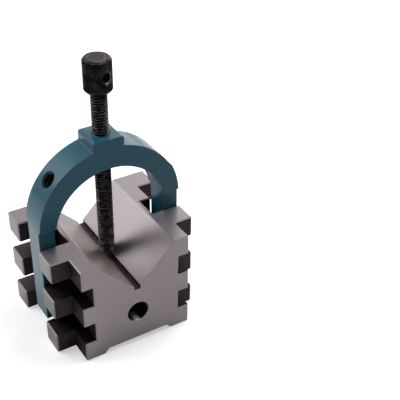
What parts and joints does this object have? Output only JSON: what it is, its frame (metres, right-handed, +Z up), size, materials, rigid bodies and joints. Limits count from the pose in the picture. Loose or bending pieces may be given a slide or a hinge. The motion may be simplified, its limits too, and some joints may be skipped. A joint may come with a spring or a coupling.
{
  "type": "v block",
  "caption": "Ground steel V block with stepped side posts and slots, a teal hook yoke that slides back to lock, and a knurled clamp screw.",
  "frame": {"origin": "middle of the block's base, below the screw", "axes": "+Z up, -Y towards the end with the open recess beside it, +X to the right of someone facing that end"},
  "size_m": [0.0762, 0.0636, 0.1408],
  "materials": {
    "ground_steel": "ground outside, dark heat-treated in the slots and channels",
    "teal_enamel": "semi-gloss enamel over a casting",
    "black_steel": "black oxide, knurled head"
  },
  "bodies": {
    "block": {"v_block": "ground_steel"},
    "yoke": {"clamp_yoke": "teal_enamel"},
    "screw": {"clamp_screw": "black_steel"}
  },
  "joints": [
    {"name": "yoke_slide", "type": "slide", "parent": "block", "child": "yoke", "axis": [0, 1, 0], "range_m": [0, 0.0127]},
    {"name": "screw_feed", "type": "slide", "parent": "yoke", "child": "screw", "axis": [0, 0, 1], "range_m": [0, 0.05]}
  ]
}
